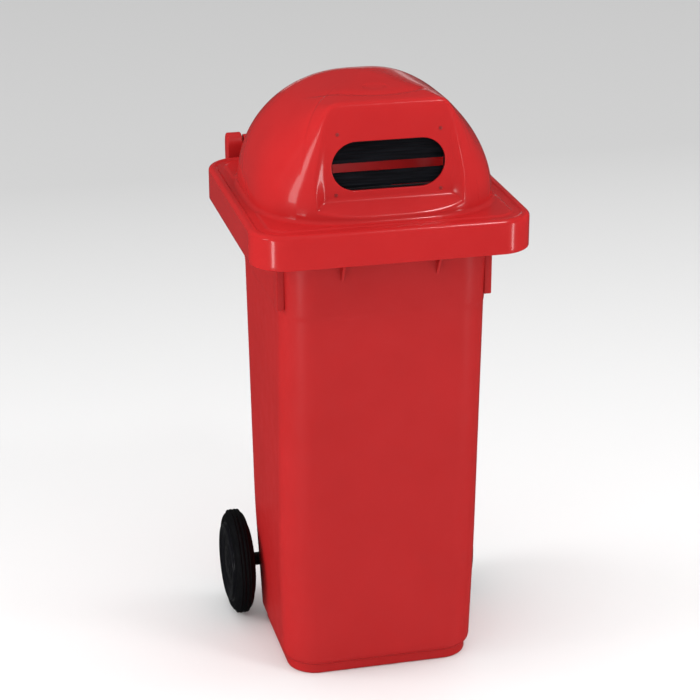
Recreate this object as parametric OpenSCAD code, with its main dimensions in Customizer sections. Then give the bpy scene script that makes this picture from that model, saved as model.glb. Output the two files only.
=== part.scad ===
// Two-wheeled dog waste bin with a domed lid and a lipped feed slot.
// The origin is on the ground under the tub; +X is to the right, the front faces -Y.

/* [Tub] */
// Width of the tub just below the rim
tub_top_w = 368; // [356:1:374]
// Width of the tub at the foot
tub_base_w = 354; // [340:1:356]
// Distance from the origin to the front wall at the top
tub_front_top = 193; // [186:1:196]
// Distance from the origin to the front wall at the foot
tub_front_base = 166; // [158:1:172]
// Distance from the origin to the rear wall at the top
tub_back_top = 207; // [203:1:209]
// Height of the tub wall, up to the rim web
tub_h = 816; // [796:1:820]
// Wall thickness of tub and lid
wall = 4; // [3:0.5:4.5]

/* [Lid] */
// Outer width of the lid skirt
lid_w = 488; // [480:1:500]
// Height of the underside edge of the skirt above the ground
skirt_bottom = 818; // [812:1:830]
// Height of the top of the lid flange above the ground
flange_top = 878; // [872:1:884]
// Half width of the dome at its foot
dome_a = 213; // [206:1:216]
// Half depth of the dome at its foot
dome_b = 208; // [200:1:212]
// Height of the dome above the flange
dome_h = 209; // [202:1:214]

/* [Feed slot] */
// Overall length of the slot
slot_l = 197; // [180:1:200]
// Height of the slot
slot_h = 85; // [78:1:88]
// Height of the slot's middle above the ground
slot_z = 969; // [966:1:972]
// Gap between the two rubber lips
lip_gap = 15; // [8:1:24]

/* [Wheels] */
// Wheel diameter over the tyre
wheel_d = 200; // [196:1:204]
// Axle diameter
axle_d = 20; // [16:1:21]
// Distance between the outer faces of the wheels
track_outer = 476; // [470:1:484]

/* [Hinge] */
// Hinge pin diameter
pin_d = 16; // [12:1:18]
// Height of the hinge axis above the ground
hinge_z = 896; // [894:1:898]
// Distance from the origin to the hinge axis
hinge_y = 262; // [261:1:266]
// Diameter of the grip bar
grip_d = 26; // [22:1:28]

/* [Hidden] */
$fn = 96;
eps = 0.01;

// Tub sections: the rear wall leans in below the knee to make room for the axle.
plinth_h = 20;
knee_z = 225;
knee_w = 365;
knee_back = 148;
base_back = 114;
corner_front = 60;
corner_back = 40;
plinth_inset = 8;
floor_t = 5;
slab_t = 1;
knee_share = (knee_z - plinth_h) / (tub_h - plinth_h);
knee_front = tub_front_base + (tub_front_top - tub_front_base) * knee_share;

// Rim that the lid rests on, with its gussets and the side ribs under it.
rim_w = 416;
rim_front = 222;
rim_back = 214;
rim_corner = 66;
rim_gap = 0.5;
rim_top = flange_top - wall - 1 - rim_gap;
gusset_x = 84;
gusset_h = 46;
gusset_t = 5;
side_rib_y = -160;
side_rib_l = 25;
side_rib_out = 191;
side_rib_h = 100;
side_rib_flare = [9, 13];

// Rear posts that carry the hinge pins and the grip bar.
post_x = 168;
post_w = 27;
post_r = 20;
post_root_z = 725;
post_cover = 5;
grip_y = hinge_y + 4;
grip_z = hinge_z - 44;

// Lid flange, skirt and hinge lugs.
lid_front = -250;
lid_back = 238;
lid_corner = 62;
flange_t = wall + 1;
groove_out = 15;
groove_in = 30;
groove_depth = 2;
rear_lip_h = 16;
rear_cut_w = 424;
lug_x = 140;
lug_w = 24;
lug_r = 15;
running = 0.08;

// Dome: a rounded-square foot under an elliptic profile, with a hood that carries the slot face.
foot_power = 3.2;
face_y = 178;
face_w = 220;
face_bottom = 912;
cheek_run = 2.7;
cheek_depth = 60;
apron_slope = 0.8;
face_top_reach = 1140;
// Middles of the rounded corners of the hood's front edge, on the right-hand side
hood_edge_r = 7;
hood_corners = [[90, -169.5, 1070], [98, -169.5, 1067], [103.5, -169.5, 1059], [121, -178.5, 958]];
dome_sides = 72;
dome_rings = 18;

// Slot lips and their carrier, all behind the slot face.
carrier_w = 208;
carrier_t = 3;
carrier_bottom = 914;
carrier_top = 1034;
carrier_open_w = 193;
lip_y = -165;
lip_w = 202;
lip_t = 3;
rib_t = 0.7;
rib_pitch = 6;
bead_l = 160;
bead_r = 4;
channel_r = 7;
bead_upper_z = 1014;
bead_lower_z = 924;
gap_z = 964;
rivet_upper = [89, 1026];
rivet_lower = [91, 921];
rivet_r = 2.4;
rivet_head_r = 4.4;
rivet_head_h = 1.6;
washer_r = 5.2;
washer_t = 1.2;

// Wheels on the axle.
axle_y = 131;
axle_z = wheel_d / 2;
lug_axle_r = 22;
lug_axle_l = 35;
axle_end = track_outer / 2 - 8;
lug_face_x = 164;
spacer_r = 12.5;
hub_inner_x = 193;
hub_outer_x = track_outer / 2;
hub_barrel_r = 29;
hub_rim_r = 78;
hub_disc_r = 73;
tread_inset = 5;
hub_wall = 6;
bush_r = 14;
bush_l = 27;
ring_r = 19;
ring_t = 3;
cap_r = 24;
cap_t = 3;
cap_recess = 15;
tyre_round = 7;

red = "firebrick";
black = "#202022";

// ---------- shared shapes ----------

// Flat rounded rectangle with its own corner radii at the front and at the back.
module rounded_rect(w, front, back, r_front, r_back) {
    x = w / 2;
    polygon([
        [x - r_front, front], [x, front + r_front], [x, back - r_back], [x - r_back, back],
        [r_back - x, back], [-x, back - r_back], [-x, front + r_front], [r_front - x, front]
    ]);
    for (s = [-1, 1]) {
        translate([s * (x - r_front), front + r_front]) circle(r_front);
        translate([s * (x - r_back), back - r_back]) circle(r_back);
    }
}

module along_x(x0, l) {
    translate([x0, 0, 0]) rotate([90, 0, 90]) linear_extrude(l) children();
}

module rod_x(x0, l, r, y, z) {
    translate([x0, y, z]) rotate([0, 90, 0]) cylinder(h = l, r = r);
}

module rod_y(x, y0, l, r, z) {
    translate([x, y0, z]) rotate([-90, 0, 0]) cylinder(h = l, r = r);
}

module both_sides() {
    children();
    mirror([1, 0, 0]) children();
}

// ---------- tub ----------

module tub_section(z, w, front, back, inset) {
    translate([0, 0, z]) linear_extrude(slab_t)
        rounded_rect(w - 2 * inset, inset - front, back - inset, corner_front - inset, corner_back - inset);
}

module tub_solid(inset, z_low, z_high) {
    hull($fn = 32) {
        tub_section(z_low, tub_base_w, tub_front_base, base_back, inset);
        tub_section(knee_z, knee_w, knee_front, knee_back, inset);
        tub_section(z_high - slab_t, tub_top_w, tub_front_top, tub_back_top, inset);
    }
}

module plinth() {
    linear_extrude(plinth_h + slab_t)
        rounded_rect(tub_base_w - 2 * plinth_inset, plinth_inset - tub_front_base,
            base_back - plinth_inset, corner_front - plinth_inset, corner_back - plinth_inset);
}

module rim() {
    difference() {
        translate([0, 0, tub_h]) linear_extrude(rim_top - tub_h)
            rounded_rect(rim_w, -rim_front, rim_back, rim_corner, rim_corner);
        translate([0, 0, tub_h + wall]) linear_extrude(rim_top)
            rounded_rect(rim_w - 2 * wall, wall - rim_front, rim_back - wall, rim_corner - wall, rim_corner - wall);
        translate([0, 0, tub_h - wall]) linear_extrude(rim_top)
            rounded_rect(tub_top_w - 2 * wall, wall - tub_front_top, tub_back_top - wall,
                corner_front - wall, corner_back - wall);
    }
}

module gussets() {
    for (x = [-gusset_x, gusset_x])
        along_x(x - gusset_t / 2, gusset_t)
            polygon([
                [-rim_front + 2, tub_h + eps], [1 - tub_front_top, tub_h + eps], [2 - tub_front_top, tub_h - gusset_h]
            ]);
}

module side_ribs() {
    both_sides()
        translate([0, side_rib_y, 0]) rotate([90, 0, 0]) mirror([0, 0, 1]) linear_extrude(side_rib_l)
            polygon([
                [tub_top_w / 2 - 3, tub_h + eps], [side_rib_out + side_rib_flare.x, tub_h + eps],
                [side_rib_out, tub_h - side_rib_flare.y], [side_rib_out, tub_h - side_rib_h],
                [tub_top_w / 2 - 3, tub_h - side_rib_h]
            ]);
}

module rear_posts() {
    both_sides()
        along_x(post_x, post_w) {
            polygon([
                [tub_back_top - 8, post_root_z], [hinge_y + post_r, hinge_z - 46], [hinge_y + post_r, hinge_z],
                [hinge_y - post_r, hinge_z], [hinge_y - post_r, tub_h + 10], [tub_back_top - 2, tub_h + 2]
            ]);
            translate([hinge_y, hinge_z]) circle(post_r);
        }
    rod_x(-post_x - 1, 2 * post_x + 2, grip_d / 2, grip_y, grip_z);
}

module axle_lugs() {
    both_sides() rod_x(lug_face_x - lug_axle_l, lug_axle_l, lug_axle_r, axle_y, axle_z);
}

module body() {
    color(red) difference() {
        union() {
            difference() {
                union() {
                    tub_solid(0, plinth_h, tub_h + wall);
                    plinth();
                    gussets();
                    side_ribs();
                    rear_posts();
                }
                tub_solid(wall, plinth_h + floor_t, tub_h + 2 * wall);
                translate([0, 0, floor_t]) linear_extrude(plinth_h)
                    rounded_rect(tub_base_w - 2 * plinth_inset - 2 * wall, plinth_inset + wall - tub_front_base,
                        base_back - plinth_inset - wall, corner_front - plinth_inset - wall,
                        corner_back - plinth_inset - wall);
            }
            rim();
            axle_lugs();
        }
        rod_x(-track_outer / 2, track_outer, axle_d / 2, axle_y, axle_z);
        both_sides() rod_x(post_x - 1, post_w - post_cover + 1, pin_d / 2, hinge_y, hinge_z);
    }
}

// ---------- lid ----------

// Distance from the middle of the dome's foot to the plain dome's skin, in direction u.
function dome_reach(u, inset) =
    let (foot = pow(abs(u.x) / (dome_a - inset), foot_power) + pow(abs(u.y) / (dome_b - inset), foot_power))
    pow(pow(foot, 2 / foot_power) + pow(u.z / (dome_h - inset), 2), -0.5);

function dome_point(turn, rise, inset) =
    let (u = [cos(turn) * cos(rise), sin(turn) * cos(rise), sin(rise)])
    u * dome_reach(u, inset) + [0, 0, flange_top];

// Plain dome, carried down by sink below the flange top.
module plain_dome(inset, sink) {
    turns = [for (j = [0:dome_sides - 1]) 360 * j / dome_sides];
    skin = [for (i = [0:dome_rings - 1], t = turns) dome_point(t, 90 * i / dome_rings, inset)];
    foot = [for (t = turns) let (p = dome_point(t, 0, inset)) [p.x, p.y, flange_top - sink]];
    crown = dome_point(0, 90, inset);
    last = dome_rings * dome_sides;
    polyhedron(
        points = concat(foot, skin, [crown]),
        faces = concat(
            [[for (j = [0:dome_sides - 1]) j]],
            [for (i = [0:dome_rings - 1], j = [0:dome_sides - 1])
                let (k = (j + 1) % dome_sides, a = i * dome_sides)
                [a + j, a + dome_sides + j, a + dome_sides + k, a + k]],
            [for (j = [0:dome_sides - 1]) [last + j, last + dome_sides, last + (j + 1) % dome_sides]]
        )
    );
}

// Dome with the hood stretched over it: the rounded corners of the slot face pull the skin forward.
module dome_solid(inset, sink) {
    hull() {
        plain_dome(inset, sink);
        both_sides()
            for (corner = hood_corners) translate(corner) sphere(hood_edge_r - inset, $fn = 20);
    }
}

// Space in front of the slot face, between flared cheeks and above the sloping apron.
module window_space(grow) {
    x = face_w / 2 + 0.2 * grow;
    y = grow - face_y;
    z = face_bottom - 0.3 * grow;
    intersection() {
        translate([0, 0, flange_top - 40]) linear_extrude(face_top_reach - flange_top)
            polygon([
                [x, y], [-x, y], [-x - cheek_run * cheek_depth, y - cheek_depth],
                [x + cheek_run * cheek_depth, y - cheek_depth]
            ]);
        along_x(-lid_w / 2, lid_w)
            polygon([
                [y + eps, z], [y + eps, face_top_reach], [y - cheek_depth, face_top_reach],
                [y - cheek_depth, z - apron_slope * cheek_depth]
            ]);
    }
}

module dome_skin() {
    difference() {
        dome_solid(0, flange_t);
        window_space(0);
    }
}

module dome_hollow() {
    difference() {
        dome_solid(wall, 2 * flange_t);
        window_space(wall);
    }
}

module lid_outline(inset) {
    rounded_rect(lid_w - 2 * inset, lid_front + inset, lid_back - inset, lid_corner - inset, lid_corner - inset);
}

module flange_and_skirt() {
    difference() {
        translate([0, 0, skirt_bottom]) linear_extrude(flange_top - skirt_bottom) lid_outline(0);
        translate([0, 0, skirt_bottom - flange_t]) linear_extrude(flange_top - skirt_bottom) lid_outline(wall);
        translate([0, 0, flange_top - groove_depth]) linear_extrude(groove_depth + 1)
            difference() {
                lid_outline(groove_out);
                lid_outline(groove_in);
            }
        translate([-rear_cut_w / 2, lid_back - lid_corner / 2, skirt_bottom - 1])
            cube([rear_cut_w, lid_corner, flange_top - rear_lip_h - skirt_bottom + 1]);
    }
}

module hinge_lugs() {
    both_sides()
        along_x(lug_x, lug_w) {
            translate([hinge_y, hinge_z]) circle(lug_r);
            polygon([
                [lid_back - 6, flange_top - rear_lip_h], [lid_back + 12, flange_top - rear_lip_h],
                [hinge_y + lug_r * 0.8, hinge_z - lug_r * 0.6], [hinge_y - lug_r * 0.3, hinge_z + lug_r * 0.95],
                [lid_back - 22, flange_top + 2], [lid_back - 22, flange_top - 3]
            ]);
        }
}

module slot_space() {
    for (s = [-1, 1])
        rod_y(s * (slot_l - slot_h) / 2, -face_y - 10, 30, slot_h / 2, slot_z);
    translate([-(slot_l - slot_h) / 2, -face_y - 10, slot_z - slot_h / 2]) cube([slot_l - slot_h, 30, slot_h]);
}

module rivet_row(at, r, y0, l) {
    for (s = [-1, 1]) rod_y(s * at[0], y0, l, r, at[1]);
}

module lid() {
    color(red) difference() {
        union() {
            flange_and_skirt();
            dome_skin();
            hinge_lugs();
        }
        dome_hollow();
        slot_space();
        rivet_row(rivet_upper, rivet_r, -face_y - 5, 12);
        rivet_row(rivet_lower, rivet_r, -face_y - 5, 12);
        both_sides() rod_x(lug_x - 1, lug_w + 2, pin_d / 2 + running, hinge_y, hinge_z);
    }
}

module hinge_pin() {
    color(black) rod_x(lug_x - 1, post_x + post_w - post_cover - lug_x + 1, pin_d / 2, hinge_y, hinge_z);
}

// ---------- slot lips ----------

// Bead channel in side view, open towards the lip's swing; up is 1 for the upper lip and -1 for the lower.
module channel_profile(up) {
    difference() {
        circle(channel_r);
        circle(bead_r + running);
        polygon(2 * channel_r * [[0, 0], [-0.7, -up], [0.6, -up], [1.2, 0]]);
    }
}

module carrier_channel(z, up) {
    difference() {
        along_x(-bead_l / 2, bead_l) translate([lip_y, z]) channel_profile(up);
        translate([-bead_l, -face_y, z - bead_l / 2]) cube([2 * bead_l, wall, bead_l]);
    }
}

module lip_carrier() {
    color(black) difference() {
        union() {
            translate([-carrier_w / 2, wall - face_y, carrier_bottom])
                cube([carrier_w, carrier_t, carrier_top - carrier_bottom]);
            carrier_channel(bead_upper_z, 1);
            carrier_channel(bead_lower_z, -1);
        }
        translate([-carrier_open_w / 2, -face_y, bead_lower_z + 5])
            cube([carrier_open_w, wall + carrier_t + 1, bead_upper_z - bead_lower_z - 10]);
        rivet_row(rivet_upper, rivet_r, -face_y - 5, 14);
        rivet_row(rivet_lower, rivet_r, -face_y - 5, 14);
    }
}

// Lip from its bead at z to its free edge; up is 1 when it hangs and -1 when it stands.
module lip(z, edge, up) {
    length = abs(z - edge);
    sheet_l = length - channel_r - 1;
    color("#17171a") {
        rod_x(-bead_l / 2, bead_l, bead_r, lip_y, z);
        along_x(-bead_l / 2, bead_l)
            translate([lip_y - lip_t / 2, min(z, edge)]) square([lip_t, length]);
        along_x(-lip_w / 2, lip_w)
            translate([lip_y - lip_t / 2, up > 0 ? edge : edge - sheet_l]) square([lip_t, sheet_l]);
        for (k = [0:floor((length - channel_r - 4) / rib_pitch)])
            along_x(-lip_w / 2 + 1, lip_w - 2)
                translate([lip_y - lip_t / 2, edge + up * (2 + k * rib_pitch)]) circle(rib_t, $fn = 24);
    }
}

module rivets(at) {
    color("silver") {
        rivet_row(at, rivet_r, -face_y - 0.5, wall + carrier_t + washer_t + 1.5);
        rivet_row(at, rivet_head_r, -face_y - rivet_head_h, rivet_head_h);
    }
}

module rivet_washers() {
    color("silver") difference() {
        for (at = [rivet_upper, rivet_lower])
            rivet_row(at, washer_r, wall + carrier_t - face_y, washer_t);
        for (at = [rivet_upper, rivet_lower]) rivet_row(at, rivet_r, -face_y, wall + carrier_t + 10);
    }
}

// ---------- wheels, drawn for the right-hand side ----------

module axle() {
    color("silver") rod_x(-axle_end, 2 * axle_end, axle_d / 2, axle_y, axle_z);
}

module about_axle() {
    translate([0, axle_y, axle_z]) rotate([0, 90, 0]) children();
}

module axle_spacer() {
    color(black) about_axle() translate([0, 0, lug_face_x])
        difference() {
            cylinder(h = hub_inner_x - lug_face_x - 0.4, r = spacer_r);
            translate([0, 0, -1]) cylinder(h = hub_inner_x, r = axle_d / 2);
        }
}

module wheel_hub() {
    web = hub_outer_x - cap_recess - hub_wall - 6;
    color(black) about_axle() rotate_extrude()
        polygon([
            [bush_r, hub_inner_x], [hub_barrel_r - 4, hub_inner_x], [hub_barrel_r, web - 12],
            [hub_rim_r - 12, web - 12], [hub_rim_r - 10, hub_inner_x], [hub_disc_r, hub_inner_x],
            [hub_disc_r, hub_inner_x + tread_inset], [hub_rim_r, hub_inner_x + tread_inset],
            [hub_rim_r, hub_outer_x - tread_inset], [hub_disc_r, hub_outer_x - tread_inset],
            [hub_disc_r, hub_outer_x], [hub_disc_r - 8, hub_outer_x], [hub_disc_r - 14, hub_outer_x - 9],
            [hub_barrel_r + 10, hub_outer_x - 9], [hub_barrel_r + 5, hub_outer_x - 2],
            [cap_r, hub_outer_x - 2], [cap_r, hub_outer_x - cap_recess], [bush_r, hub_outer_x - cap_recess]
        ]);
}

module tyre() {
    low = hub_inner_x + tread_inset;
    high = hub_outer_x - tread_inset;
    outer = wheel_d / 2;
    color("#1a1a1a") about_axle() rotate_extrude() {
        polygon([
            [hub_rim_r, low], [outer - tyre_round, low], [outer, low + tyre_round],
            [outer, high - tyre_round], [outer - tyre_round, high], [hub_rim_r, high]
        ]);
        for (z = [low + tyre_round, high - tyre_round]) translate([outer - tyre_round, z]) circle(tyre_round);
    }
}

module wheel_bush() {
    color("dimgray") about_axle() translate([0, 0, hub_inner_x + 1])
        difference() {
            cylinder(h = bush_l, r = bush_r);
            translate([0, 0, -1]) cylinder(h = bush_l + 2, r = axle_d / 2 + 0.06);
        }
}

module retaining_ring() {
    color("silver") about_axle() translate([0, 0, hub_outer_x - cap_recess + 0.6])
        difference() {
            cylinder(h = ring_t, r = ring_r);
            translate([0, 0, -1]) cylinder(h = ring_t + 2, r = axle_d / 2);
        }
}

module hub_cap() {
    color(black) about_axle() rotate_extrude()
        polygon([
            [0, hub_outer_x - 2 - cap_t], [cap_r - 2, hub_outer_x - 2 - cap_t], [cap_r - 2, hub_outer_x - 10],
            [cap_r, hub_outer_x - 10], [cap_r, hub_outer_x - 2], [cap_r - 4, hub_outer_x - 1], [0, hub_outer_x]
        ]);
}

module left() {
    mirror([1, 0, 0]) children();
}

body();
lid();
left() hinge_pin();  // hinge_pin_left
hinge_pin();  // hinge_pin_right
lip_carrier();
lip(bead_upper_z, gap_z + lip_gap / 2, 1);  // lip_upper
lip(bead_lower_z, gap_z - lip_gap / 2, -1);  // lip_lower
rivets(rivet_upper);  // upper_rivets
rivets(rivet_lower);  // lower_rivets
rivet_washers();
axle();
left() axle_spacer();  // axle_spacer_left
axle_spacer();  // axle_spacer_right
left() wheel_hub();  // wheel_hub_left
wheel_hub();  // wheel_hub_right
left() tyre();  // tyre_left
tyre();  // tyre_right
left() wheel_bush();  // wheel_bush_left
wheel_bush();  // wheel_bush_right
left() retaining_ring();  // retaining_ring_left
retaining_ring();  // retaining_ring_right
left() hub_cap();  // hub_cap_left
hub_cap();  // hub_cap_right
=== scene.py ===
"""Looks of the two-wheeled dog waste bin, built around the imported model.

Shapes are worked out in millimetres in the model's own frame (X to the right, front to -Y, Z up) and
turned into metres when a mesh is made.
"""
import math

import bmesh
import bpy
import numpy as np
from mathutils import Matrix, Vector
from mathutils.bvhtree import BVHTree


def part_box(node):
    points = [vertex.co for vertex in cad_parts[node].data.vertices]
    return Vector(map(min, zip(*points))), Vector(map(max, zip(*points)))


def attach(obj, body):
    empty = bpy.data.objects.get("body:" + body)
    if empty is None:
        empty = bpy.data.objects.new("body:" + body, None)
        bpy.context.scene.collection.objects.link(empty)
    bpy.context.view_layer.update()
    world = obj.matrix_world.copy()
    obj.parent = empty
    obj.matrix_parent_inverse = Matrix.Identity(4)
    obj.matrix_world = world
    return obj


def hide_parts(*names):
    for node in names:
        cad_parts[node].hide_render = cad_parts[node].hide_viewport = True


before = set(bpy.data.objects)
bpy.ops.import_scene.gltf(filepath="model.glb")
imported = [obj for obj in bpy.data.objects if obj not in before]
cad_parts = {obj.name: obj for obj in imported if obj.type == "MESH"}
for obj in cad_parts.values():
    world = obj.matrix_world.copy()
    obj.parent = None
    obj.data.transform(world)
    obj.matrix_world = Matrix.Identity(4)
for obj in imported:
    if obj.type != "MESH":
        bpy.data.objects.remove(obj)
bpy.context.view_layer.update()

MM = 0.001
sharp_angle = 38


# ---------- places read from the model ----------

def node_box(name):
    """Lowest and highest corner of a CAD node, in millimetres."""
    low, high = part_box(name)
    return np.array(low) / MM, np.array(high) / MM


lid_low, lid_high = node_box("lid")
axle_low, axle_high = node_box("axle")
tyre_low, tyre_high = node_box("tyre_right")
hub_low, hub_high = node_box("wheel_hub_right")
pin_low, pin_high = node_box("hinge_pin_right")
upper_low, upper_high = node_box("lip_upper")
lower_low, lower_high = node_box("lip_lower")

axle_y, axle_z = (axle_low + axle_high)[1:] / 2
hinge_y, hinge_z = (pin_low + pin_high)[1:] / 2

# Walls of tub and lid
wall = 4.0

# Lid: flange, skirt and dome
skirt_h = 60.0
skirt_bottom = lid_low[2]
flange_top = skirt_bottom + skirt_h
flange_t = 5.0
lid_half_w = lid_high[0]
lid_front = lid_low[1]
lid_back = 238.0
lid_corner = 62.0
edge_round = 8.0
groove = (14.0, 31.0)
groove_soft = 4.0
groove_depth = 2.0
rear_cut_half_w = 212.0
rear_lip_h = 16.0
dome_half_w = 213.0
dome_half_d = 208.0
dome_h = 209.0
foot_power = 3.2
foot_fillet = 8.0

# Hood: a shell stretched over the dome and the rounded corners of its front edge
hood_edge_r = 7.0
hood_corners = [(90, -169.5, 1070), (98, -169.5, 1067), (103.5, -169.5, 1059), (121, -178.5, 958)]
face_y = 178.0
face_half_w = 110.0
face_bottom = 912.0
cheek_runs = (1.1, 2.7)
cheek_blend = (15.0, 85.0)
apron_slope = 0.8
hull_blur = 14

# Oval seat near the crown: middle and half sizes in X and Y, and its depth
badge_seat = (-3.0, -92.0, 23.0, 16.0)
badge_depth = 0.7

# Feed slot
slot_l = 197.0
slot_h = 85.0
slot_z = 969.0
slot_edge_r = 1.4

# Under the rim: gussets in front and a box rib on each side
gusset_x = 84.0
gusset_half_t = 2.5
gusset_h = 48.0
side_rib_out = 191.0
side_rib_drop = 100.0
side_rib_flare = (9.0, 13.0)
side_rib_y = (-160.0, -135.0)

# Hinge: tub posts, lid lugs and grip bar
post_x = (168.0, 195.0)
post_r = 20.0
lug_x = (140.0, 164.0)
lug_r = 15.0
grip_r = 13.0
grip_half_l = 175.0

# Lugs that hold the axle
axle_lug_x = (129.0, 164.0)
axle_lug_r = 22.0

# Rubber lips
lip_half_t = 1.5
lip_rib_out = 0.7
lip_rib_pitch = 6.0
lip_rib_start = 4.0
lip_rib_half = 1.2
lip_root_half_w = 80.0

# Tub: plinth, knee and rim; sections are given at plinth_h, knee_z and tub_h
plinth_h = 20.0
plinth_inset = 8.0
knee_z = 225.0
tub_h = 816.0
tub_widths = np.array([354.0, 365.0, 368.0])
tub_fronts = np.array([166.0, 169.6, 193.0])
tub_backs = np.array([114.0, 148.0, 207.0])
tub_corner_front = 60.0
tub_corner_back = 40.0
floor_t = 5.0
collar_z = 708.0
collar_out = 0.8
rim_w = 416.0
rim_front = 222.0
rim_back = 214.0
rim_corner = 66.0
rim_top = 872.5


# ---------- materials ----------

def node_tree(name):
    material = bpy.data.materials.new(name)
    material.use_nodes = True
    return material, material.node_tree.nodes, material.node_tree.links


def noise(nodes, links, coords, scale, detail=4.0, stretch=(1, 1, 1)):
    """Noise over the object's own coordinates, in cycles per metre."""
    mapping = nodes.new("ShaderNodeMapping")
    mapping.inputs["Scale"].default_value = stretch
    links.new(coords, mapping.inputs["Vector"])
    texture = nodes.new("ShaderNodeTexNoise")
    texture.inputs["Scale"].default_value = scale
    texture.inputs["Detail"].default_value = detail
    links.new(mapping.outputs["Vector"], texture.inputs["Vector"])
    return texture.outputs["Fac"]


def spread(nodes, links, value, low, high, start=0.3, end=0.7):
    """Maps a noise value from start..end to low..high."""
    ramp = nodes.new("ShaderNodeMapRange")
    ramp.inputs["From Min"].default_value = start
    ramp.inputs["From Max"].default_value = end
    ramp.inputs["To Min"].default_value = low
    ramp.inputs["To Max"].default_value = high
    links.new(value, ramp.inputs["Value"])
    return ramp.outputs["Result"]


def two_tone(nodes, links, factor, dark, light):
    mix = nodes.new("ShaderNodeMix")
    mix.data_type = "RGBA"
    mix.inputs["A"].default_value = (*dark, 1)
    mix.inputs["B"].default_value = (*light, 1)
    links.new(factor, mix.inputs["Factor"])
    return mix.outputs["Result"]


def bump(nodes, links, height, distance, strength=1.0, below=None):
    node = nodes.new("ShaderNodeBump")
    node.inputs["Distance"].default_value = distance
    node.inputs["Strength"].default_value = strength
    links.new(height, node.inputs["Height"])
    if below is not None:
        links.new(below, node.inputs["Normal"])
    return node.outputs["Normal"]


def moulded_plastic(name, dark, light, gloss, shine, coat=0.0, sink=0.00008):
    """Injection-moulded plastic: faint mottling, orange-peel skin, slow sink waves and scuffs."""
    material, nodes, links = node_tree(name)
    shader = nodes["Principled BSDF"]
    coords = nodes.new("ShaderNodeTexCoord").outputs["Object"]
    mottle = noise(nodes, links, coords, 9.0, 6.0)
    colour = two_tone(nodes, links, spread(nodes, links, mottle, 0, 1), dark, light)
    links.new(colour, shader.inputs["Base Color"])
    scuff = noise(nodes, links, coords, 40.0, 8.0)
    links.new(spread(nodes, links, scuff, gloss - 0.02, gloss + 0.03), shader.inputs["Roughness"])
    waves = bump(nodes, links, noise(nodes, links, coords, 7.0, 1.0), sink)
    skin = bump(nodes, links, noise(nodes, links, coords, 900.0, 3.0), 0.000003, 1.0, waves)
    links.new(skin, shader.inputs["Normal"])
    shader.inputs["Specular IOR Level"].default_value = shine
    shader.inputs["Coat Weight"].default_value = coat
    shader.inputs["Coat Roughness"].default_value = 0.07
    return material


def rubber(name, dark, light, gloss, streak):
    """Black rubber with fine streaks; streak stretches the noise along an axis."""
    material, nodes, links = node_tree(name)
    shader = nodes["Principled BSDF"]
    coords = nodes.new("ShaderNodeTexCoord").outputs["Object"]
    lines = noise(nodes, links, coords, 260.0, 5.0, streak)
    colour = two_tone(nodes, links, spread(nodes, links, lines, 0, 1), dark, light)
    links.new(colour, shader.inputs["Base Color"])
    links.new(spread(nodes, links, lines, gloss - 0.06, gloss + 0.1), shader.inputs["Roughness"])
    fine = bump(nodes, links, noise(nodes, links, coords, 1400.0, 3.0), 0.00002)
    links.new(bump(nodes, links, lines, 0.0001, 0.6, fine), shader.inputs["Normal"])
    shader.inputs["Specular IOR Level"].default_value = 0.07
    return material


def metal(name, dark, light, gloss, brushed, metallic):
    """Plated or lacquered metal with a fine drawn grain and slightly clouded finish."""
    material, nodes, links = node_tree(name)
    shader = nodes["Principled BSDF"]
    coords = nodes.new("ShaderNodeTexCoord").outputs["Object"]
    cloud = noise(nodes, links, coords, 60.0, 5.0)
    colour = two_tone(nodes, links, spread(nodes, links, cloud, 0, 1), dark, light)
    links.new(colour, shader.inputs["Base Color"])
    grain = noise(nodes, links, coords, 700.0, 4.0, brushed)
    links.new(spread(nodes, links, grain, gloss - 0.05, gloss + 0.1), shader.inputs["Roughness"])
    links.new(bump(nodes, links, grain, 0.00002), shader.inputs["Normal"])
    shader.inputs["Metallic"].default_value = metallic
    return material


lid_red = moulded_plastic("lid_plastic", (0.455, 0.0140, 0.0150), (0.485, 0.0160, 0.0170), 0.22, 0.25, 0.4)
tub_red = moulded_plastic("tub_plastic", (0.405, 0.0125, 0.0130), (0.43, 0.0140, 0.0150), 0.33, 0.25)
black_plastic = moulded_plastic("black_plastic", (0.004, 0.004, 0.005), (0.008, 0.008, 0.010), 0.3, 0.3)
hub_plastic = moulded_plastic("hub_plastic", (0.003, 0.003, 0.004), (0.006, 0.006, 0.008), 0.22, 0.35)
bush_plastic = moulded_plastic("bush_plastic", (0.10, 0.10, 0.105), (0.14, 0.14, 0.145), 0.4, 0.4)
lip_rubber = rubber("lip_rubber", (0.0025, 0.003, 0.004), (0.007, 0.008, 0.011), 0.42, (0.05, 1, 1))
tyre_rubber = rubber("tyre_rubber", (0.003, 0.003, 0.0035), (0.006, 0.006, 0.007), 0.45, (1, 0.4, 0.4))
zinc_steel = metal("zinc_steel", (0.46, 0.47, 0.48), (0.58, 0.59, 0.60), 0.3, (0.05, 1, 1), 0.6)
rivet_metal = metal("rivet_metal", (0.27, 0.018, 0.018), (0.33, 0.028, 0.028), 0.3, (1, 0.1, 1), 0.2)


# ---------- mesh making ----------

def new_piece(name, points, faces, material, smooth=sharp_angle):
    """Mesh object from points in millimetres, smooth except at edges sharper than the smooth angle."""
    mesh = bpy.data.meshes.new(name)
    mesh.from_pydata((np.asarray(points, float) * MM).tolist(), [], faces)
    bm = bmesh.new()
    bm.from_mesh(mesh)
    bmesh.ops.recalc_face_normals(bm, faces=bm.faces)
    bm.to_mesh(mesh)
    bm.free()
    mesh.shade_smooth()
    mesh.set_sharp_from_angle(angle=math.radians(smooth))
    mesh.materials.append(material)
    piece = bpy.data.objects.new(name, mesh)
    bpy.context.scene.collection.objects.link(piece)
    return piece


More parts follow.
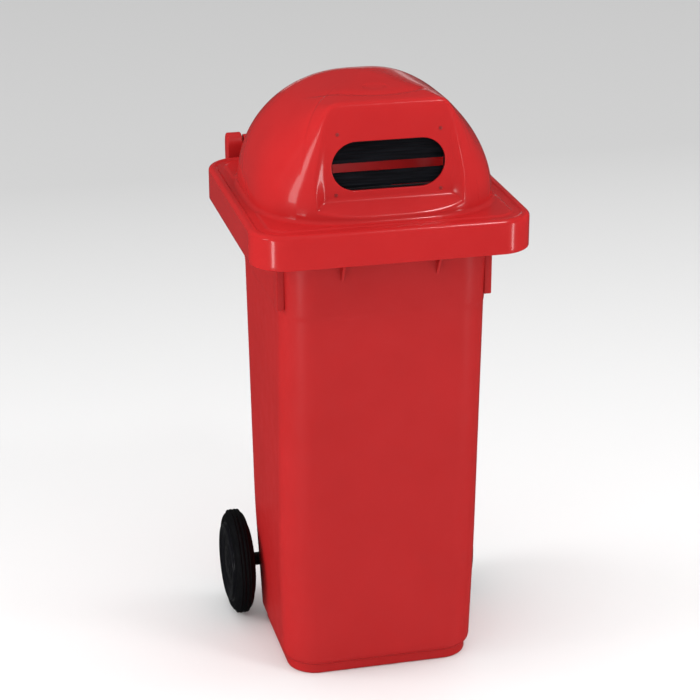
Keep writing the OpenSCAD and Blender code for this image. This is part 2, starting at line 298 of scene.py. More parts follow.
def loft(rings, cap_first=True, cap_last=True):
    """Points and faces of a skin through closed rings of equal length, capped where asked."""
    count = len(rings[0])
    faces = [
        (i * count + j, i * count + (j + 1) % count, (i + 1) * count + (j + 1) % count, (i + 1) * count + j)
        for i in range(len(rings) - 1) for j in range(count)
    ]
    if cap_first:
        faces.append(tuple(range(count)))
    if cap_last:
        start = (len(rings) - 1) * count
        faces.append(tuple(range(start, start + count)))
    return np.concatenate(rings), faces


def rounded(outline, radius, steps=5):
    """Closed outline with each corner turned into an arc-like curve that starts radius away from it."""
    outline = np.asarray(outline, float)
    radius = np.broadcast_to(radius, len(outline))
    arc_pull = 0.5523
    curve = []
    for i, corner in enumerate(outline):
        before = outline[i - 1] - corner
        after = outline[(i + 1) % len(outline)] - corner
        start = corner + before * min(0.49, radius[i] / np.linalg.norm(before))
        end = corner + after * min(0.49, radius[i] / np.linalg.norm(after))
        near_start = start + (corner - start) * arc_pull
        near_end = end + (corner - end) * arc_pull
        for t in np.linspace(0, 1, steps):
            u = 1 - t
            pulled = 3 * u * t * (u * near_start + t * near_end)
            curve.append(u ** 3 * start + pulled + t ** 3 * end)
    return np.array(curve)


def inset_outline(outline, depth):
    """Closed outline shrunk about its middle, so that its sides move in by depth."""
    low, high = outline.min(axis=0), outline.max(axis=0)
    return (low + high) / 2 + (outline - (low + high) / 2) * (1 - 2 * depth / (high - low))


def prism_x(outline, x0, x1, edge=1.5, steps=4):
    """Solid with an outline in the YZ plane, from x0 to x1, its end edges rounded."""
    rings = []
    for end, inwards in ((x0, 1), (x1, -1)):
        part = []
        for t in np.linspace(0, math.pi / 2, steps):
            flat = inset_outline(outline, edge * (1 - math.sin(t)))
            x = np.full((len(flat), 1), end + inwards * edge * (1 - math.cos(t)))
            part.append(np.hstack([x, flat]))
        rings += part if inwards > 0 else part[::-1]
    return loft(rings)


def lathe_x(profile, y, z, segments=128, flip=False):
    """Closed (x, radius) profile turned about the line along X through y, z."""
    profile = np.asarray(profile, float)
    if flip:
        profile = profile * (-1, 1)
    turns = np.linspace(0, 2 * math.pi, segments, endpoint=False)
    x, r = profile.T
    rings = [np.stack([x, y + r * math.cos(a), z + r * math.sin(a)], axis=1) for a in turns]
    points, faces = loft(rings + [rings[0]], False, False)
    count = len(profile)
    faces = [tuple(i % (segments * count) for i in face) for face in faces]
    return points[:segments * count], faces


def combine(piece, others, operation):
    """Exact boolean of piece with other objects, which are used up."""
    for other in others:
        modifier = piece.modifiers.new("combine", "BOOLEAN")
        modifier.operation = operation
        modifier.solver = "EXACT"
        modifier.object = other
    bpy.context.view_layer.update()
    mesh = bpy.data.meshes.new_from_object(piece.evaluated_get(bpy.context.evaluated_depsgraph_get()))
    piece.modifiers.clear()
    piece.data = mesh
    mesh.shade_smooth()
    mesh.set_sharp_from_angle(angle=math.radians(sharp_angle))
    for other in others:
        bpy.data.objects.remove(other)
    return piece


def place(piece, body, slot, *nodes):
    """The piece rides on a body and stands for CAD nodes, which it hides; slot is not used."""
    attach(piece, body)
    if nodes:
        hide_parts(*nodes)
    return piece


def quarter(steps):
    """Sine and one minus cosine round a quarter turn."""
    return [(math.sin(t), 1 - math.cos(t)) for t in np.linspace(0, math.pi / 2, steps)]


def heading(turn, rise):
    """Direction at a turn round Z from the front and a rise above the floor."""
    return math.sin(turn) * math.cos(rise), -math.cos(turn) * math.cos(rise), math.sin(rise)


def smoothstep(value, start, end):
    t = np.clip((value - start) / (end - start), 0, 1)
    return t * t * (3 - 2 * t)


# ---------- lid ----------

def rect_distance(x, y, half_w, front, back, corner):
    """Distance outside a rounded rectangle; negative inside."""
    dx = np.abs(x) - (half_w - corner)
    dy = np.abs(y - (front + back) / 2) - ((back - front) / 2 - corner)
    outside = np.hypot(np.maximum(dx, 0), np.maximum(dy, 0))
    return outside + np.minimum(np.maximum(dx, dy), 0) - corner


def lid_inset(x, y):
    """How far a point lies inside the lid's outer edge."""
    return -rect_distance(x, y, lid_half_w, lid_front, lid_back, lid_corner)


def lid_reach(turns, inset):
    """Distance from the Z axis to the line that lies inset in from the lid's edge, per direction."""
    low = np.zeros_like(turns)
    high = np.full_like(turns, 400.0)
    for _ in range(40):
        middle = (low + high) / 2
        inside = lid_inset(middle * np.sin(turns), -middle * np.cos(turns)) > inset
        low = np.where(inside, middle, low)
        high = np.where(inside, high, middle)
    return (low + high) / 2


def dome_point(turn, rise, inset):
    """Point of the plain dome, from the middle of its foot."""
    x, y, z = heading(turn, rise)
    foot = (abs(x) / (dome_half_w - inset)) ** foot_power + (abs(y) / (dome_half_d - inset)) ** foot_power
    reach = (foot ** (2 / foot_power) + (z / (dome_h - inset)) ** 2) ** -0.5
    return Vector((x, y, z)) * reach


def hood_hull(inset):
    """Search tree of the dome with the hood stretched over its front corners."""
    bm = bmesh.new()
    for turn in np.radians(np.arange(0, 360, 1.0)):
        foot = dome_point(turn, 0, inset)
        bm.verts.new((foot.x, foot.y, -2 * flange_t - 5))
        for rise in np.radians(np.arange(0, 90.5, 1.0)):
            bm.verts.new(dome_point(turn, rise, inset))
    for x, y, z in hood_corners:
        for side in (-1, 1):
            for turn in np.radians(np.arange(0, 360, 10)):
                for rise in np.radians(np.arange(-90, 91, 10)):
                    ball = Vector(heading(turn, rise)) * (hood_edge_r - inset)
                    bm.verts.new(Vector((side * x, y, z - flange_top)) + ball)
    bmesh.ops.remove_doubles(bm, verts=bm.verts, dist=0.01)
    bmesh.ops.convex_hull(bm, input=bm.verts)
    spare = [v for v in bm.verts if not v.link_faces]
    bmesh.ops.delete(bm, geom=spare, context="VERTS")
    tree = BVHTree.FromBMesh(bm)
    bm.free()
    return tree


def ray_length(tree, direction):
    """Distance from the middle of the dome's foot to the hull; a ray lost in a seam is turned a little."""
    for nudge in (0, 1e-4, -1e-4, 3e-4):
        found = tree.ray_cast(Vector((0, 0, 0)), direction + Vector((nudge, nudge, nudge)))[3]
        if found is not None:
            return found
    raise ValueError("the hull has a hole")


def soft_max(a, b, width):
    gap = np.maximum(width - np.abs(a - b), 0)
    return np.maximum(a, b) + gap * gap / (4 * width)


def soft_min(a, b, width):
    return -soft_max(-a, -b, width)


def blurred(table, passes):
    """Table of rises by turns, averaged with its neighbours a few times."""
    for _ in range(passes):
        table = table / 2 + (np.roll(table, 1, axis=1) + np.roll(table, -1, axis=1)) / 4
        padded = np.concatenate([table[:1], table, table[-1:]])
        table = padded[1:-1] / 2 + (padded[:-2] + padded[2:]) / 4
    return table


def hood_skin(turns, rises, inset):
    """Points of the dome and hood with the window cut in; rises holds a row of angles per ring."""
    tree = hood_hull(inset)
    x = np.sin(turns) * np.cos(rises)
    y = -np.cos(turns) * np.cos(rises)
    z = np.sin(rises)
    reach = np.array([[ray_length(tree, Vector(u)) for u in zip(*row)] for row in zip(x, y, z)])
    hull_q = 1 / blurred(reach, hull_blur)
    face = face_y - inset
    half_w = face_half_w + 0.2 * inset
    sill = face_bottom - flange_top - 0.3 * inset
    face_q = -y / face
    height = face * z / np.maximum(-y, 0.05)
    run = cheek_runs[0] + (cheek_runs[1] - cheek_runs[0]) * smoothstep(height, *cheek_blend)
    right_q = (-x - run * y) / (run * face - half_w)
    left_q = (x - run * y) / (run * face - half_w)
    apron_q = (-apron_slope * y + z) / (apron_slope * face + sill)
    crease = 1.4 / face ** 2
    edge = 2.6 / face ** 2
    window_q = soft_min(soft_min(right_q, left_q, crease), soft_min(face_q, apron_q, 3 * crease), crease)
    q = soft_max(hull_q, window_q, edge)
    return np.stack([x, y, z], axis=-1) / q[..., None] + (0, 0, flange_top)


def badge_dip(points):
    """Skin with the shallow oval seat of the badge pressed in near the crown, left plain."""
    across = (points[..., 0] - badge_seat[0]) / badge_seat[2]
    along = (points[..., 1] - badge_seat[1]) / badge_seat[3]
    dipped = points.copy()
    dipped[..., 2] -= badge_depth * (1 - smoothstep(np.hypot(across, along), 0.86, 1.0))
    return dipped


def flat_ring(turns, reach, z):
    reach, z = np.broadcast_to(reach, turns.shape), np.broadcast_to(z, turns.shape)
    return np.stack([reach * np.sin(turns), -reach * np.cos(turns), z], axis=-1)


def groove_floor(x, y):
    """Height of the flange's upper side relative to its top."""
    depth = lid_inset(x, y)
    inside = smoothstep(depth, groove[0] - groove_soft / 2, groove[0] + groove_soft / 2)
    outside = smoothstep(depth, groove[1] - groove_soft / 2, groove[1] + groove_soft / 2)
    return -groove_depth * inside * (1 - outside)


def flange_ring(turns, reach):
    height = groove_floor(reach * np.sin(turns), -reach * np.cos(turns))
    return flat_ring(turns, reach, flange_top + height)


def lid_turns():
    """Columns of the lid's mesh: close together round the hood's face and where the rear skirt is cut."""
    fine = np.arange(-42, 42, 0.35)
    coarse = np.arange(42, 318, 1.0)
    into_corner = rear_cut_half_w - lid_half_w + lid_corner
    cut_y = lid_back - lid_corner + math.sqrt(lid_corner ** 2 - into_corner ** 2)
    cut = math.degrees(math.atan2(rear_cut_half_w, -cut_y))
    steps = [cut - 0.15, cut + 0.15, 360 - cut - 0.15, 360 - cut + 0.15]
    return np.radians(np.sort(np.concatenate([fine, coarse, steps]))), math.radians(cut)


def lid_rings():
    turns, cut = lid_turns()
    share = np.concatenate([np.linspace(1, 0.61, 26)[1:-1], np.linspace(0.61, 0, 140)])[:, None]
    foot = np.array([math.hypot(*dome_point(t, 0, 0)[:2]) for t in turns])
    floor = groove_floor((foot + foot_fillet) * np.sin(turns), -(foot + foot_fillet) * np.cos(turns))
    low = np.arctan2(foot_fillet + floor, foot)
    skin = hood_skin(turns, low + (math.pi / 2 - low) * share, 0)
    rings = list(badge_dip(skin))

    wall_reach = np.hypot(skin[-1, :, 0], skin[-1, :, 1])
    foot_z = flange_top + floor
    for a, b in quarter(8)[1:]:
        rings.append(flat_ring(turns, wall_reach + foot_fillet * b, foot_z + foot_fillet * (1 - a)))
    inner = wall_reach + foot_fillet
    border = lid_reach(turns, edge_round)
    for t in np.linspace(0, 1, 42)[1:]:
        rings.append(flange_ring(turns, inner + (border - inner) * t))
    for a, b in quarter(9)[1:]:
        rings.append(flat_ring(turns, lid_reach(turns, edge_round * (1 - a)), flange_top - edge_round * b))
    rear = (turns > cut) & (turns < 2 * math.pi - cut)
    bottom = np.where(rear, flange_top - rear_lip_h, skirt_bottom)
    lip_r = 1.2
    for t in np.linspace(0, 1, 7)[1:]:
        top = flange_top - edge_round
        rings.append(flat_ring(turns, lid_reach(turns, 0), top + (bottom + lip_r - top) * t))
    for a, b in quarter(4)[1:]:
        rings.append(flat_ring(turns, lid_reach(turns, lip_r * b), bottom + lip_r * (1 - a)))
    rings.append(flat_ring(turns, lid_reach(turns, wall), bottom))

    under = flange_top - flange_t
    rings.append(flat_ring(turns, lid_reach(turns, wall), np.maximum(bottom + 1, under - 6)))
    for a, b in quarter(4):
        rings.append(flat_ring(turns, lid_reach(turns, wall + 3 * b), under - 3 * (1 - a)))
    inside_low = np.arctan2(-flange_t + 1.5, foot - wall)
    inner_skin = hood_skin(turns, inside_low + (math.pi / 2 - inside_low) * share[::-1], wall)
    inner_reach = np.hypot(inner_skin[0, :, 0], inner_skin[0, :, 1])
    for a, b in quarter(4):
        rings.append(flat_ring(turns, inner_reach + 1.5 * (1 - a), under + 1.5 * b))
    rings += list(inner_skin)
    return rings


def stadium_ring(grow, y, steps=24):
    """Outline of the feed slot in a plane of constant y, grown all round."""
    radius = slot_h / 2 + grow
    centre = (slot_l - slot_h) / 2
    turns = np.linspace(-math.pi / 2, math.pi / 2, steps)
    right = np.stack([centre + radius * np.cos(turns), slot_z + radius * np.sin(turns)], axis=1)
    left = np.stack([-centre - radius * np.cos(turns), slot_z - radius * np.sin(turns)], axis=1)
    outline = np.concatenate([right, left])
    return np.stack([outline[:, 0], np.full(len(outline), y), outline[:, 1]], axis=1)


def slot_cutter():
    rings = [stadium_ring(slot_edge_r, -face_y - 12), stadium_ring(slot_edge_r, -face_y - 0.2)]
    for a, b in quarter(6):
        rings.append(stadium_ring(slot_edge_r * (1 - a), -face_y + slot_edge_r * b))
    rings.append(stadium_ring(0, -face_y + wall + 12))
    return new_piece("slot_cutter", *loft(rings), lid_red)


def hinge_lug(x0, x1):
    """Lug on the lid's rear edge that turns on a hinge pin."""
    foot_z = flange_top - rear_lip_h
    outline = rounded([
        (lid_back - 22, flange_top + 2), (lid_back - 22, flange_top - 3), (lid_back - 6, foot_z),
        (lid_back + 12, foot_z), (hinge_y + lug_r, hinge_z - 11), (hinge_y + lug_r, hinge_z + lug_r),
        (hinge_y - 10, hinge_z + lug_r)], (1, 1, 2, 8, 10, 14, 12), 8)
    return new_piece("hinge_lug", *prism_x(outline, x0, x1), lid_red)


def build_lid():
    lid = new_piece("lid_shell", *loft(lid_rings()), lid_red)
    combine(lid, [slot_cutter()], "DIFFERENCE")
    lugs = [hinge_lug(*sorted(side * x for x in lug_x)) for side in (-1, 1)]
    combine(lid, lugs, "UNION")
    return place(lid, "lid", "lid_plastic", "lid")


# ---------- tub ----------

def rect_ring(half_w, front, back, corner_front, corner_back, z):
    """Rounded rectangle with the same number of points whatever its size."""
    arc, straight = 14, 9
    corners = [(1, front, 1, corner_front, -90), (1, back, -1, corner_back, 0),
               (-1, back, -1, corner_back, 90), (-1, front, 1, corner_front, 180)]
    points = []
    for side, y, inwards, radius, start in corners:
        for turn in np.radians(np.linspace(start, start + 90, arc)):
            points.append((side * (half_w - radius) + radius * math.cos(turn),
                           y + inwards * radius + radius * math.sin(turn)))
    dense = []
    for i, point in enumerate(points):
        dense.append(point)
        if i % arc == arc - 1:
            nxt = points[(i + 1) % len(points)]
            for t in np.linspace(0, 1, straight + 2)[1:-1]:
                dense.append((point[0] + (nxt[0] - point[0]) * t, point[1] + (nxt[1] - point[1]) * t))
    dense = np.array(dense)
    return np.hstack([dense, np.full((len(dense), 1), z)])


def eased(z, values):
    """Value at height z: straight lines through the three sections, with the knee rounded."""
    def line(at):
        lower = values[0] + (values[1] - values[0]) * (at - plinth_h) / (knee_z - plinth_h)
        upper = values[1] + (values[2] - values[1]) * (at - knee_z) / (tub_h - knee_z)
        return lower if at < knee_z else upper
    return float(np.mean([line(z + d) for d in np.linspace(-45, 45, 13)]))


def tub_ring(z, inset, at=None):
    """Tub section at height at (z by default), drawn at height z and moved in by inset."""
    at = z if at is None else at
    corner = max(inset, 0)
    return rect_ring(eased(at, tub_widths) / 2 - inset, inset - eased(at, tub_fronts),
                     eased(at, tub_backs) - inset, tub_corner_front - corner, tub_corner_back - corner, z)


def rim_ring(z, inset):
    return rect_ring(rim_w / 2 - inset, inset - rim_front, rim_back - inset,
                     rim_corner - inset, rim_corner - inset, z)


def tub_rings():
    foot_r, base_r = 4.0, 13.0
    rings = [tub_ring(foot_r * b, plinth_inset + foot_r * (1 - a), plinth_h) for a, b in quarter(5)]
    rings.append(tub_ring(plinth_h - 1.5, plinth_inset, plinth_h))
    rings.append(tub_ring(plinth_h - 0.3, plinth_inset - 0.3, plinth_h))
    for a, b in quarter(9)[1:]:
        z = plinth_h + base_r * b
        rings.append(tub_ring(z, plinth_inset * (1 - a), z))
    heights = np.concatenate([np.linspace(plinth_h + base_r, 320, 24)[1:], np.linspace(320, 690, 14)[1:],
                              np.linspace(690, 730, 12)[1:], np.linspace(730, tub_h - 5, 8)[1:]])
    for z in heights:
        rings.append(tub_ring(z, -collar_out * smoothstep(z, collar_z - 8, collar_z + 2)))
    top_out, web_r = -collar_out, 4.0
    web = [tub_ring(tub_h - web_r + web_r * a, top_out - web_r * b, tub_h) for a, b in quarter(5)]
    rings += web
    edge = 3.0
    outer = rim_ring(tub_h, edge)
    rings += [web[-1] + (outer - web[-1]) * t for t in (0.5, 1)]
    rings += [rim_ring(tub_h + edge * b, edge * (1 - a)) for a, b in quarter(4)[1:]]
    rings += [rim_ring(z, 0) for z in np.linspace(tub_h + edge, rim_top - 1.5, 6)[1:]]
    rings += [rim_ring(rim_top - 1.5 * (1 - a), 1.5 * b) for a, b in quarter(4)[1:]]
    rings += [rim_ring(rim_top - 1.5 * b, wall - 1.5 * (1 - a)) for a, b in quarter(4)]
    web_top = tub_h + wall
    rings += [rim_ring(z, wall) for z in np.linspace(rim_top - 1.5, web_top + 3, 5)[1:]]
    rings += [rim_ring(web_top + 3 * (1 - a), wall + 3 * b) for a, b in quarter(4)[1:]]
    inner = tub_ring(web_top, wall - 2, tub_h)
    rings += [rings[-1] + (inner - rings[-1]) * t for t in (0.5, 1)]
    rings += [tub_ring(web_top - 2 * b, wall - 2 * (1 - a), tub_h) for a, b in quarter(4)[1:]]
    inside_foot = plinth_h + floor_t
    rings += [tub_ring(z, wall) for z in np.linspace(tub_h, inside_foot + 6, 40)[1:]]
    rings += [tub_ring(inside_foot + 6 * (1 - a), wall + 6 * b) for a, b in quarter(5)[1:]]
    shelf = plinth_inset + wall
    rings += [tub_ring(inside_foot - 2 * b, shelf - 1 + a, plinth_h + floor_t) for a, b in quarter(3)[1:]]
    rings += [tub_ring(z, shelf, inside_foot) for z in (16, 9)]
    rings += [tub_ring(floor_t + 3 * (1 - a), shelf + 3 * b, inside_foot) for a, b in quarter(4)[1:]]
    return rings


def gusset(x):
    """Triangular web that carries the front of the rim."""
    outline = rounded([(-rim_front + 2, tub_h + 2), (4 - tub_fronts[2], tub_h + 2),
                       (4 - tub_fronts[2], tub_h - gusset_h)], (1, 1, 1))
    return new_piece("gusset", *prism_x(outline, x - gusset_half_t, x + gusset_half_t, 0.8), tub_red)


def side_rib(side):
    """Box rib under the rim on one side, flared where it meets the rim."""
    inner, foot = tub_widths[2] / 2 - 6, tub_h - side_rib_drop
    outline = rounded([
        (inner, tub_h + 1), (side_rib_out + side_rib_flare[0], tub_h + 1),
        (side_rib_out, tub_h - side_rib_flare[1]), (side_rib_out, foot), (inner, foot)], (1, 1, 9, 2, 1))
    points, faces = prism_x(outline, *side_rib_y, 1.5)
    turned = np.stack([side * points[:, 1], points[:, 0], points[:, 2]], axis=1)
    return new_piece("side_rib", turned, faces, tub_red)


def rear_post(x0, x1):
    """Post that carries a hinge pin and one end of the grip bar."""
    outline = rounded([
        (hinge_y - post_r, tub_h + 10), (tub_backs[2] - 1.7, tub_h + 2), (tub_backs[2] - 10.7, 725),
        (hinge_y + post_r, hinge_z - 46), (hinge_y + post_r, hinge_z + post_r),
        (hinge_y - post_r, hinge_z + post_r)], (8, 3, 3, 30, post_r, post_r), 8)
    return new_piece("rear_post", *prism_x(outline, x0, x1, 2.5), tub_red)


def turned_bar(name, x0, x1, radius, y, z, edge, material):
    """Round bar along X with rounded ends."""
    low, high = min(x0, x1), max(x0, x1)
    profile = [(low + edge * b, radius - edge * (1 - a)) for a, b in quarter(5)]
    profile += [(high - edge * b, radius - edge * (1 - a)) for a, b in quarter(5)[::-1]]
    turns = np.linspace(0, 2 * math.pi, 64, endpoint=False)
    rings = [np.stack([np.full(64, x), y + r * np.cos(turns), z + r * np.sin(turns)], axis=1)
             for x, r in profile]
    return new_piece(name, *loft(rings), material)


def build_tub():
    tub = new_piece("tub_shell", *loft(tub_rings()), tub_red)
    extras = [gusset(x) for x in (-gusset_x, gusset_x)] + [side_rib(side) for side in (-1, 1)]
    extras += [rear_post(*sorted(side * x for x in post_x)) for side in (-1, 1)]
    grip_y, grip_z = hinge_y + 4, hinge_z - 44
    extras.append(turned_bar("grip", -grip_half_l, grip_half_l, grip_r, grip_y, grip_z, 1, tub_red))
    for side in (-1, 1):
        start, end = side * axle_lug_x[0], side * axle_lug_x[1]
        extras.append(turned_bar("axle_lug", start, end, axle_lug_r, axle_y, axle_z, 2, tub_red))
    combine(tub, extras, "UNION")
    return place(tub, "bin", "tub_plastic", "body")


# ---------- slot lips and rivets ----------

def build_lip(name, node, body, low, high, up):
    """Ribbed rubber strip; up is 1 for the hanging lip and -1 for the standing one."""
    y = (low[1] + high[1]) / 2
    free, root = (low[2], high[2]) if up > 0 else (high[2], low[2])
    front, back, length = [], [], abs(root - free) - 8
    for k in np.arange(0, length, 0.5):
        off = abs((k + lip_rib_start) % lip_rib_pitch - lip_rib_pitch / 2)
        rib = lip_rib_out * math.cos(math.pi / 2 * off / lip_rib_half) if off < lip_rib_half else 0
        front.append((y - lip_half_t - rib, free + up * k))
        back.append((y + lip_half_t + rib, free + up * k))
    outline = np.array(front + back[::-1])
    outline[0, 1] += up * 0.6
    outline[-1, 1] += up * 0.6
    rings = []
    for x in np.linspace(low[0], high[0], 49):
        sway = 0.35 * math.sin(x / 31.0) + 0.2 * math.sin(x / 11.0 + up)
        fade = np.clip(np.abs(outline[:, 1] - root) / 40, 0, 1)
        ring = np.stack([np.full(len(outline), x), outline[:, 0] + sway * fade, outline[:, 1]], axis=1)
        rings.append(ring)
    sheet = new_piece(name, *loft(rings), lip_rubber, 60)
    root_span = (-lip_root_half_w, lip_root_half_w)
    bead = turned_bar("bead", *root_span, 4, y, root - up * 4, 0.6, lip_rubber)
    neck_outline = [(y - lip_half_t, root - up * 10), (y - lip_half_t, root - up * 4),
                    (y + lip_half_t, root - up * 4), (y + lip_half_t, root - up * 10)]
    neck = new_piece("neck", *prism_x(rounded(neck_outline, 0.3, 3), *root_span, 0.2), lip_rubber)
    combine(sheet, [neck, bead], "UNION")
    return place(sheet, body, "lip_rubber", node)


def rivet_head(x, y, z):
    """Low domed head with a fine flange, facing -Y."""
    radius, height, brim = 3.2, 1.2, 0.35
    profile = [(radius, 0.0), (radius, -brim)]
    profile += [(radius * 0.86 * math.cos(t), -brim - (height - brim) * math.sin(t))
                for t in np.linspace(0, math.pi / 2, 8)[:-1]]
    turns = np.linspace(0, 2 * math.pi, 40, endpoint=False)
    rings = [np.stack([x + r * np.cos(turns), np.full(40, y + d), z + r * np.sin(turns)], axis=1)
             for r, d in profile]
    return loft(rings)


def build_rivets(name, node):
    """Heads of one pair of rivets, in the middle of the CAD ones."""
    low, high = node_box(node)
    cad_head_r = 4.4
    x, z = high[0] - cad_head_r, (low[2] + high[2]) / 2
    points, faces = [], []
    for side in (-1, 1):
        part, part_faces = rivet_head(side * x, -face_y + 0.05, z)
        start = sum(len(p) for p in points)
        points.append(part)
        faces += [tuple(i + start for i in face) for face in part_faces]
    return new_piece(name, np.concatenate(points), faces, rivet_metal)


# ---------- wheels ----------

def build_wheel(side, word):
    """Hub, tyre and cap of one wheel; profiles are drawn for the right-hand side."""
    body = word + "_wheel"
    inner, outer = hub_low[0], hub_high[0]
    tread_r = (tyre_high[2] - tyre_low[2]) / 2
    disc_r, rim_r = 73.0, 78.0
    tyre_in, tyre_out = tyre_low[0], tyre_high[0]

    hub = rounded([
        (inner, 16), (inner, 26), (inner + 9, 29), (inner + 9, 60), (inner + 1, 66), (inner, 69),
        (inner, disc_r), (tyre_in + 0.3, disc_r + 1), (tyre_in + 0.3, rim_r), (tyre_out - 0.3, rim_r),
        (tyre_out - 0.3, disc_r + 1), (outer, disc_r), (outer, disc_r - 6), (outer - 4, disc_r - 10),
        (outer - 5, disc_r - 18), (outer - 8, disc_r - 21), (outer - 9, 46), (outer - 5.5, 43),
        (outer - 5.5, 39), (outer - 8, 36), (outer - 3, 31), (outer - 3, 24.2), (outer - 12, 24.2),
        (outer - 12, 16)], 1.6, 5)
    place(new_piece("hub_" + word, *lathe_x(hub, axle_y, axle_z, 144, side < 0), hub_plastic),
          body, "hub_plastic", "wheel_hub_" + word)

    middle = (tyre_in + tyre_out) / 2
    half = (tyre_out - tyre_in) / 2
    tread = [(tyre_in, rim_r - 0.5), (tyre_in, rim_r + 6), (tyre_in + 1.2, rim_r + 8),
             (tyre_in, rim_r + 10), (tyre_in + 2.2, tread_r - 8), (tyre_in + 9.5, tread_r - 1.4)]
    for x in (middle - half * 0.42, middle, middle + half * 0.42):
        tread += [(x - 2.0, tread_r), (x - 1.2, tread_r - 1.6), (x + 1.2, tread_r - 1.6), (x + 2.0, tread_r)]
    tread += [(2 * middle - x, r) for x, r in tread[5::-1]]
    tyre = rounded(tread, 0.9, 4)
    place(new_piece("tyre_band_" + word, *lathe_x(tyre, axle_y, axle_z, 160, side < 0), tyre_rubber),
          body, "tyre_rubber", "tyre_" + word)

    cap_low, cap_high = node_box("hub_cap_right")
    cap = rounded([
        (cap_low[0], 0.4), (cap_low[0], 22), (cap_high[0] - 3, 23.6), (cap_high[0] - 2, 21.5),
        (cap_high[0] - 2.4, 16), (cap_high[0] - 1.2, 14), (cap_high[0], 8), (cap_high[0], 0.4)], 1.2, 5)
    place(new_piece("cap_" + word, *lathe_x(cap, axle_y, axle_z, 96, side < 0), hub_plastic),
          body, "hub_plastic", "hub_cap_" + word)

    spacer_low, spacer_high = node_box("axle_spacer_right")
    spacer_r = (spacer_high[2] - spacer_low[2]) / 2
    spacer = rounded([(spacer_low[0], 10), (spacer_low[0], spacer_r), (spacer_high[0], spacer_r),
                      (spacer_high[0], 10)], 0.8, 4)
    place(new_piece("spacer_" + word, *lathe_x(spacer, axle_y, axle_z, 72, side < 0), black_plastic),
          "bin", "black_plastic", "axle_spacer_" + word)


# ---------- kept CAD parts ----------

def finish_cad_nodes():
    """CAD parts that are shown as they are get their material."""
    looks = {
        "hinge_pin_left": black_plastic, "hinge_pin_right": black_plastic, "lip_carrier": black_plastic,
        "rivet_washers": zinc_steel, "axle": zinc_steel, "wheel_bush_left": bush_plastic,
        "wheel_bush_right": bush_plastic, "retaining_ring_left": zinc_steel,
        "retaining_ring_right": zinc_steel,
    }
    for name, material in looks.items():
        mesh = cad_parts[name].data
        mesh.materials.clear()
        mesh.materials.append(material)


# ---------- stage ----------

def build_floor():
    """Pale sweep: a floor that goes from white in front to light grey far behind; the grey is painted shade
    that stands in for light falling off with distance.
    """
    across, ahead, behind = 16000.0, -16000.0, 16000.0
    columns = np.linspace(-across, across, 13)
    rows = np.linspace(ahead, behind, 25)
    points = [(x, y, 0.0) for y in rows for x in columns]
    count = len(columns)
    faces = [(i * count + j, i * count + j + 1, (i + 1) * count + j + 1, (i + 1) * count + j)
             for i in range(len(rows) - 1) for j in range(count - 1)]
    material, nodes, links = node_tree("floor")
    shader = nodes["Principled BSDF"]
    coords = nodes.new("ShaderNodeTexCoord").outputs["Object"]
    split = nodes.new("ShaderNodeSeparateXYZ")
    links.new(coords, split.inputs["Vector"])
    # Painted shade: the floor's colour darkens further back, standing in for light falling off with
    # distance.
    fade = spread(nodes, links, split.outputs["Y"], 0, 1, -0.2, 3.0)
    colour = two_tone(nodes, links, fade, (0.82, 0.82, 0.82), (0.535, 0.535, 0.535))
    links.new(colour, shader.inputs["Base Color"])
    shader.inputs["Roughness"].default_value = 0.9
    shader.inputs["Specular IOR Level"].default_value = 0.1
    floor = new_piece("studio_floor", points, faces, material)
    floor.visible_glossy = False


def aim(obj, at, target):
    obj.location = at
    obj.rotation_euler = (Vector(target) - Vector(at)).to_track_quat("-Z", "Y").to_euler()
    bpy.context.scene.collection.objects.link(obj)


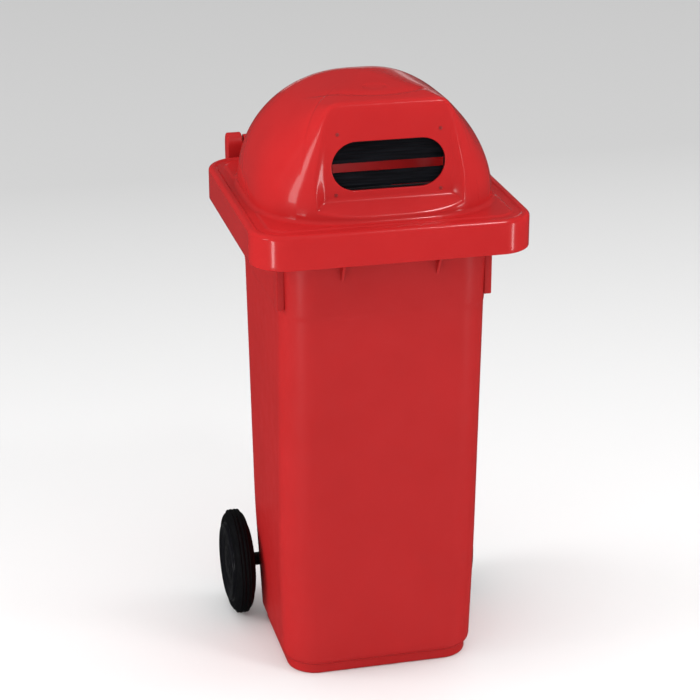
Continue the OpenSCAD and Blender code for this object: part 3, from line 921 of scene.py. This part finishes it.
# Name, place, aim, size, watts, and whether glossy surfaces mirror it
lights = (
    ("left_strip", (-1.50, -1.35, 0.34), (-0.2, -0.2, 0.6), (0.30, 0.55), 4.2, True),
    ("left_box", (-1.86, -0.80, 1.10), (-0.1, -0.1, 0.95), (0.50, 0.34), 2.4, True),
    ("right_strip", (1.50, -1.36, 0.50), (0.2, -0.2, 0.7), (0.20, 0.80), 4, True),
    ("high_right", (0.75, -1.10, 2.50), (0.1, -0.2, 0.9), (0.30, 0.30), 9, True),
    ("rear_strip", (0.5, 2.0, 1.05), (0, 0, 1.0), (1.2, 0.15), 0.4, True),
    ("front_fill", (1.6, -8.4, 4.2), (0, 0, 0.6), (4.0, 4.0), 24, False),
    ("left_fill", (-8.0, 0.8, 3.6), (0, 0, 0.6), (4.0, 4.0), 340, False),
    ("right_fill", (8.0, 0.4, 3.6), (0, 0, 0.6), (4.0, 4.0), 140, False),
    ("top", (0, 0.3, 4.2), (0, 0, 0.5), (3.2, 3.2), 12, False),
    ("inside", (0, -0.02, 0.84), (0, 0.2, 0.86), (0.16, 0.05), 0.3, False),
)


def area_light(name, at, target, size, power, mirrored):
    """Soft box that the camera doesn't see; mirrored ones show in glossy surfaces."""
    light = bpy.data.lights.new(name, "AREA")
    light.shape = "RECTANGLE"
    light.size, light.size_y = size
    light.energy = power
    lamp = bpy.data.objects.new(name, light)
    lamp.visible_camera = False
    lamp.visible_glossy = mirrored
    aim(lamp, at, target)


def build_lights():
    for light in lights:
        area_light(*light)
    world = bpy.data.worlds.new("studio")
    world.use_nodes = True
    nodes, links = world.node_tree.nodes, world.node_tree.links
    background = nodes["Background"]
    background.inputs["Color"].default_value = (1, 1, 1, 1)
    mirrored = nodes.new("ShaderNodeLightPath").outputs["Is Glossy Ray"]
    links.new(spread(nodes, links, mirrored, 0.97, 0.05, 0, 1), background.inputs["Strength"])
    bpy.context.scene.world = world


def build_camera():
    """Camera round the bin's middle, a little to its left and above."""
    azimuth, elevation = math.radians(-13.74), math.radians(21.47)
    distance = 3.894
    target = Vector((-0.0236, 0, 0.5689))
    back = Vector(heading(azimuth, elevation))
    data = bpy.data.cameras.new("camera")
    data.sensor_width = 36
    data.lens = 110.3
    camera = bpy.data.objects.new("camera", data)
    aim(camera, target + back * distance, target)
    bpy.context.scene.camera = camera


bpy.context.scene.view_settings.view_transform = "Standard"
build_camera()
build_lights()
build_floor()
build_tub()
build_lid()
build_lip("upper_lip_strip", "lip_upper", "upper_lip", upper_low, upper_high, 1)
build_lip("lower_lip_strip", "lip_lower", "lower_lip", lower_low, lower_high, -1)
place(build_rivets("rivet_heads_upper", "upper_rivets"), "lid", "rivet_metal", "upper_rivets")
place(build_rivets("rivet_heads_lower", "lower_rivets"), "lid", "rivet_metal", "lower_rivets")
build_wheel(-1, "left")
build_wheel(1, "right")
finish_cad_nodes()
